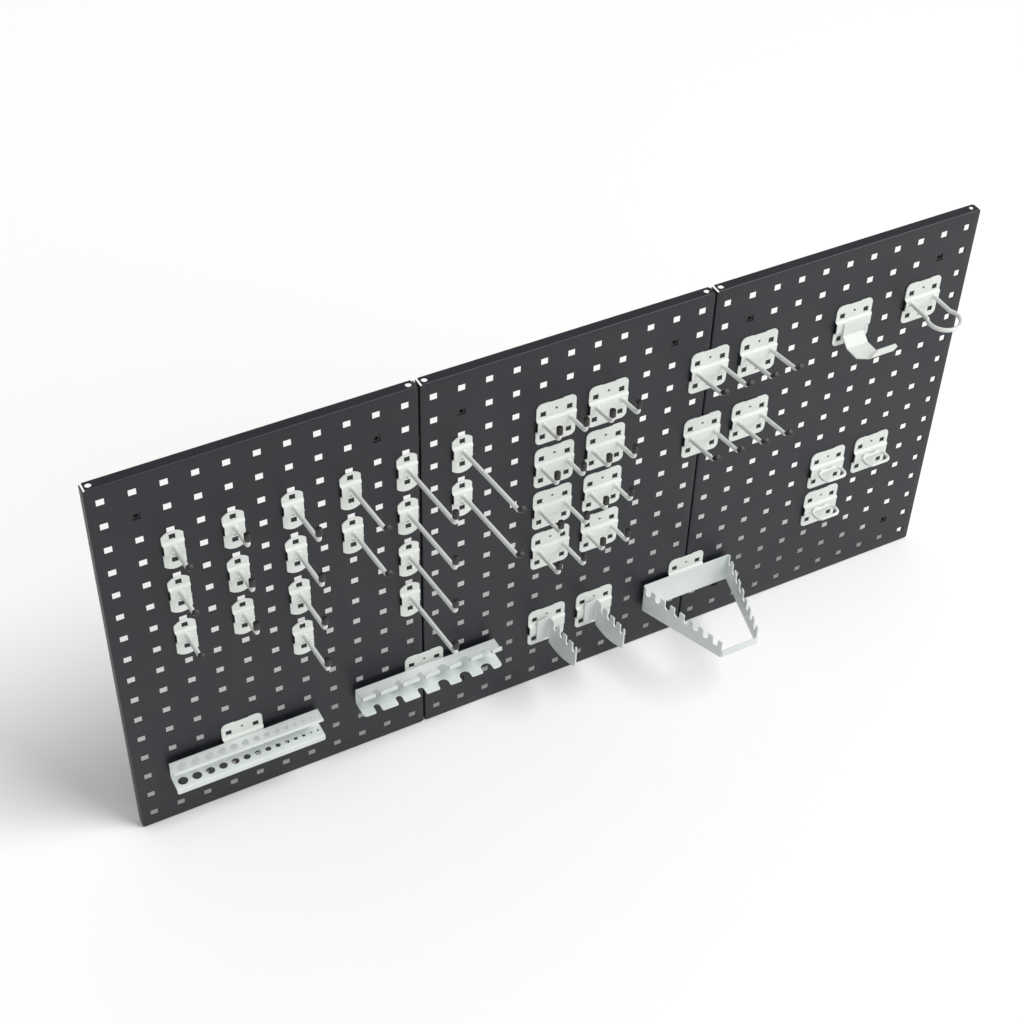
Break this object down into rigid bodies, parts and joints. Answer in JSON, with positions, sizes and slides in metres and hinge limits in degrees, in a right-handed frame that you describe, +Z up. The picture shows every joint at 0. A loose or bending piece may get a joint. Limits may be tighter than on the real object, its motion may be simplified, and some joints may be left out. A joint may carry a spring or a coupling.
{
  "type": "perforated tool wall with holders",
  "caption": "Perforated steel wall panels in a row with hang-in hooks, a drill tray, a screwdriver tray, a spanner rack, brackets and a ring.",
  "frame": {"origin": "in the wall plane, at the centre of the middle panel's four fixing holes", "axes": "+X along the wall to the right seen from the front, +Y into the wall, +Z up"},
  "size_m": [1.252, 0.1816, 0.618],
  "materials": {
    "panel": "dark grey powder coat, satin",
    "holder_steel": "off-white powder coat, satin",
    "tray_steel": "pale grey powder coat, satin",
    "plastic": "black soft plastic"
  },
  "bodies": {
    "panels": {"panel_left": "panel", "panel_middle": "panel", "panel_right": "panel", "wall_spacers": "plastic"},
    "stub_hook_1": {"stub_hook_1_steel": "holder_steel", "stub_hook_1_cap": "plastic"},
    "stub_hook_2": {"stub_hook_2": "holder_steel"},
    "stub_hook_3": {"stub_hook_3": "holder_steel"},
    "short_hook_1": {"short_hook_1_steel": "holder_steel", "short_hook_1_cap": "plastic"},
    "short_hook_2": {"short_hook_2": "holder_steel"},
    "short_hook_3": {"short_hook_3": "holder_steel"},
    "medium_hook_1": {"medium_hook_1_steel": "holder_steel", "medium_hook_1_cap": "plastic"},
    "medium_hook_2": {"medium_hook_2": "holder_steel"},
    "medium_hook_3": {"medium_hook_3": "holder_steel"},
    "medium_hook_4": {"medium_hook_4": "holder_steel"},
    "angled_hook_1": {"angled_hook_1_steel": "holder_steel", "angled_hook_1_cap": "plastic"},
    "angled_hook_2": {"angled_hook_2": "holder_steel"},
    "long_hook_1": {"long_hook_1_steel": "holder_steel", "long_hook_1_cap": "plastic"},
    "long_hook_2": {"long_hook_2": "holder_steel"},
    "long_hook_3": {"long_hook_3": "holder_steel"},
    "long_hook_4": {"long_hook_4": "holder_steel"},
    "extra_long_hook_1": {"extra_long_hook_1_steel": "holder_steel", "extra_long_hook_1_cap": "plastic"},
    "extra_long_hook_2": {"extra_long_hook_2": "holder_steel"},
    "twin_short_hook_1": {"twin_short_hook_1_steel": "holder_steel", "twin_short_hook_1_caps": "plastic"},
    "twin_short_hook_2": {"twin_short_hook_2": "holder_steel"},
    "twin_short_hook_3": {"twin_short_hook_3": "holder_steel"},
    "twin_short_hook_4": {"twin_short_hook_4": "holder_steel"},
    "twin_short_hook_5": {"twin_short_hook_5": "holder_steel"},
    "twin_short_hook_6": {"twin_short_hook_6": "holder_steel"},
    "twin_medium_hook_1": {"twin_medium_hook_1_steel": "holder_steel", "twin_medium_hook_1_caps": "plastic"},
    "twin_medium_hook_2": {"twin_medium_hook_2": "holder_steel"},
    "twin_angled_hook_1": {"twin_angled_hook_1_steel": "holder_steel", "twin_angled_hook_1_caps": "plastic"},
    "twin_angled_hook_2": {"twin_angled_hook_2": "holder_steel"},
    "twin_angled_hook_3": {"twin_angled_hook_3": "holder_steel"},
    "twin_angled_hook_4": {"twin_angled_hook_4": "holder_steel"},
    "strap_cradle": {"strap_cradle_plate": "holder_steel", "strap_cradle_strap": "holder_steel"},
    "ring_holder": {"ring_holder_plate": "holder_steel", "ring_holder_ring": "holder_steel"},
    "loop_holder_1": {"loop_holder_1_plate": "holder_steel", "loop_holder_1_loop": "holder_steel"},
    "loop_holder_2": {"loop_holder_2": "holder_steel"},
    "loop_holder_3": {"loop_holder_3": "holder_steel"},
    "drill_holder": {"drill_holder_plate": "holder_steel", "drill_holder_tray": "tray_steel"},
    "screwdriver_holder": {"screwdriver_holder_plate": "holder_steel", "screwdriver_holder_tray": "tray_steel"},
    "notched_bracket_1": {"notched_bracket_1_plate": "holder_steel", "notched_bracket_1_arm": "tray_steel"},
    "notched_bracket_2": {"notched_bracket_2": "holder_steel"},
    "spanner_rack": {"spanner_rack_plate": "holder_steel", "spanner_rack_frame": "tray_steel"}
  },
  "joints": [
    {"name": "stub_hook_1_lift", "type": "slide", "parent": "panels", "child": "stub_hook_1", "axis": [0, 0, 1], "range_m": [0, 0.0075]},
    {"name": "stub_hook_2_lift", "type": "slide", "parent": "panels", "child": "stub_hook_2", "axis": [0, 0, 1], "range_m": [0, 0.0075]},
    {"name": "stub_hook_3_lift", "type": "slide", "parent": "panels", "child": "stub_hook_3", "axis": [0, 0, 1], "range_m": [0, 0.0075]},
    {"name": "short_hook_1_lift", "type": "slide", "parent": "panels", "child": "short_hook_1", "axis": [0, 0, 1], "range_m": [0, 0.0075]},
    {"name": "short_hook_2_lift", "type": "slide", "parent": "panels", "child": "short_hook_2", "axis": [0, 0, 1], "range_m": [0, 0.0075]},
    {"name": "short_hook_3_lift", "type": "slide", "parent": "panels", "child": "short_hook_3", "axis": [0, 0, 1], "range_m": [0, 0.0075]},
    {"name": "medium_hook_1_lift", "type": "slide", "parent": "panels", "child": "medium_hook_1", "axis": [0, 0, 1], "range_m": [0, 0.0075]},
    {"name": "medium_hook_2_lift", "type": "slide", "parent": "panels", "child": "medium_hook_2", "axis": [0, 0, 1], "range_m": [0, 0.0075]},
    {"name": "medium_hook_3_lift", "type": "slide", "parent": "panels", "child": "medium_hook_3", "axis": [0, 0, 1], "range_m": [0, 0.0075]},
    {"name": "medium_hook_4_lift", "type": "slide", "parent": "panels", "child": "medium_hook_4", "axis": [0, 0, 1], "range_m": [0, 0.0075]},
    {"name": "angled_hook_1_lift", "type": "slide", "parent": "panels", "child": "angled_hook_1", "axis": [0, 0, 1], "range_m": [0, 0.0075]},
    {"name": "angled_hook_2_lift", "type": "slide", "parent": "panels", "child": "angled_hook_2", "axis": [0, 0, 1], "range_m": [0, 0.0075]},
    {"name": "long_hook_1_lift", "type": "slide", "parent": "panels", "child": "long_hook_1", "axis": [0, 0, 1], "range_m": [0, 0.0075]},
    {"name": "long_hook_2_lift", "type": "slide", "parent": "panels", "child": "long_hook_2", "axis": [0, 0, 1], "range_m": [0, 0.0075]},
    {"name": "long_hook_3_lift", "type": "slide", "parent": "panels", "child": "long_hook_3", "axis": [0, 0, 1], "range_m": [0, 0.0075]},
    {"name": "long_hook_4_lift", "type": "slide", "parent": "panels", "child": "long_hook_4", "axis": [0, 0, 1], "range_m": [0, 0.0075]},
    {"name": "extra_long_hook_1_lift", "type": "slide", "parent": "panels", "child": "extra_long_hook_1", "axis": [0, 0, 1], "range_m": [0, 0.0075]},
    {"name": "extra_long_hook_2_lift", "type": "slide", "parent": "panels", "child": "extra_long_hook_2", "axis": [0, 0, 1], "range_m": [0, 0.0075]},
    {"name": "twin_short_hook_1_lift", "type": "slide", "parent": "panels", "child": "twin_short_hook_1", "axis": [0, 0, 1], "range_m": [0, 0.0075]},
    {"name": "twin_short_hook_2_lift", "type": "slide", "parent": "panels", "child": "twin_short_hook_2", "axis": [0, 0, 1], "range_m": [0, 0.0075]},
    {"name": "twin_short_hook_3_lift", "type": "slide", "parent": "panels", "child": "twin_short_hook_3", "axis": [0, 0, 1], "range_m": [0, 0.0075]},
    {"name": "twin_short_hook_4_lift", "type": "slide", "parent": "panels", "child": "twin_short_hook_4", "axis": [0, 0, 1], "range_m": [0, 0.0075]},
    {"name": "twin_short_hook_5_lift", "type": "slide", "parent": "panels", "child": "twin_short_hook_5", "axis": [0, 0, 1], "range_m": [0, 0.0075]},
    {"name": "twin_short_hook_6_lift", "type": "slide", "parent": "panels", "child": "twin_short_hook_6", "axis": [0, 0, 1], "range_m": [0, 0.0075]},
    {"name": "twin_medium_hook_1_lift", "type": "slide", "parent": "panels", "child": "twin_medium_hook_1", "axis": [0, 0, 1], "range_m": [0, 0.0075]},
    {"name": "twin_medium_hook_2_lift", "type": "slide", "parent": "panels", "child": "twin_medium_hook_2", "axis": [0, 0, 1], "range_m": [0, 0.0075]},
    {"name": "twin_angled_hook_1_lift", "type": "slide", "parent": "panels", "child": "twin_angled_hook_1", "axis": [0, 0, 1], "range_m": [0, 0.0075]},
    {"name": "twin_angled_hook_2_lift", "type": "slide", "parent": "panels", "child": "twin_angled_hook_2", "axis": [0, 0, 1], "range_m": [0, 0.0075]},
    {"name": "twin_angled_hook_3_lift", "type": "slide", "parent": "panels", "child": "twin_angled_hook_3", "axis": [0, 0, 1], "range_m": [0, 0.0075]},
    {"name": "twin_angled_hook_4_lift", "type": "slide", "parent": "panels", "child": "twin_angled_hook_4", "axis": [0, 0, 1], "range_m": [0, 0.0075]},
    {"name": "strap_cradle_lift", "type": "slide", "parent": "panels", "child": "strap_cradle", "axis": [0, 0, 1], "range_m": [0, 0.0075]},
    {"name": "ring_holder_lift", "type": "slide", "parent": "panels", "child": "ring_holder", "axis": [0, 0, 1], "range_m": [0, 0.0075]},
    {"name": "loop_holder_1_lift", "type": "slide", "parent": "panels", "child": "loop_holder_1", "axis": [0, 0, 1], "range_m": [0, 0.0075]},
    {"name": "loop_holder_2_lift", "type": "slide", "parent": "panels", "child": "loop_holder_2", "axis": [0, 0, 1], "range_m": [0, 0.0075]},
    {"name": "loop_holder_3_lift", "type": "slide", "parent": "panels", "child": "loop_holder_3", "axis": [0, 0, 1], "range_m": [0, 0.0075]},
    {"name": "drill_holder_lift", "type": "slide", "parent": "panels", "child": "drill_holder", "axis": [0, 0, 1], "range_m": [0, 0.0075]},
    {"name": "screwdriver_holder_lift", "type": "slide", "parent": "panels", "child": "screwdriver_holder", "axis": [0, 0, 1], "range_m": [0, 0.0075]},
    {"name": "notched_bracket_1_lift", "type": "slide", "parent": "panels", "child": "notched_bracket_1", "axis": [0, 0, 1], "range_m": [0, 0.0075]},
    {"name": "notched_bracket_2_lift", "type": "slide", "parent": "panels", "child": "notched_bracket_2", "axis": [0, 0, 1], "range_m": [0, 0.0075]},
    {"name": "spanner_rack_lift", "type": "slide", "parent": "panels", "child": "spanner_rack", "axis": [0, 0, 1], "range_m": [0, 0.0075]}
  ]
}
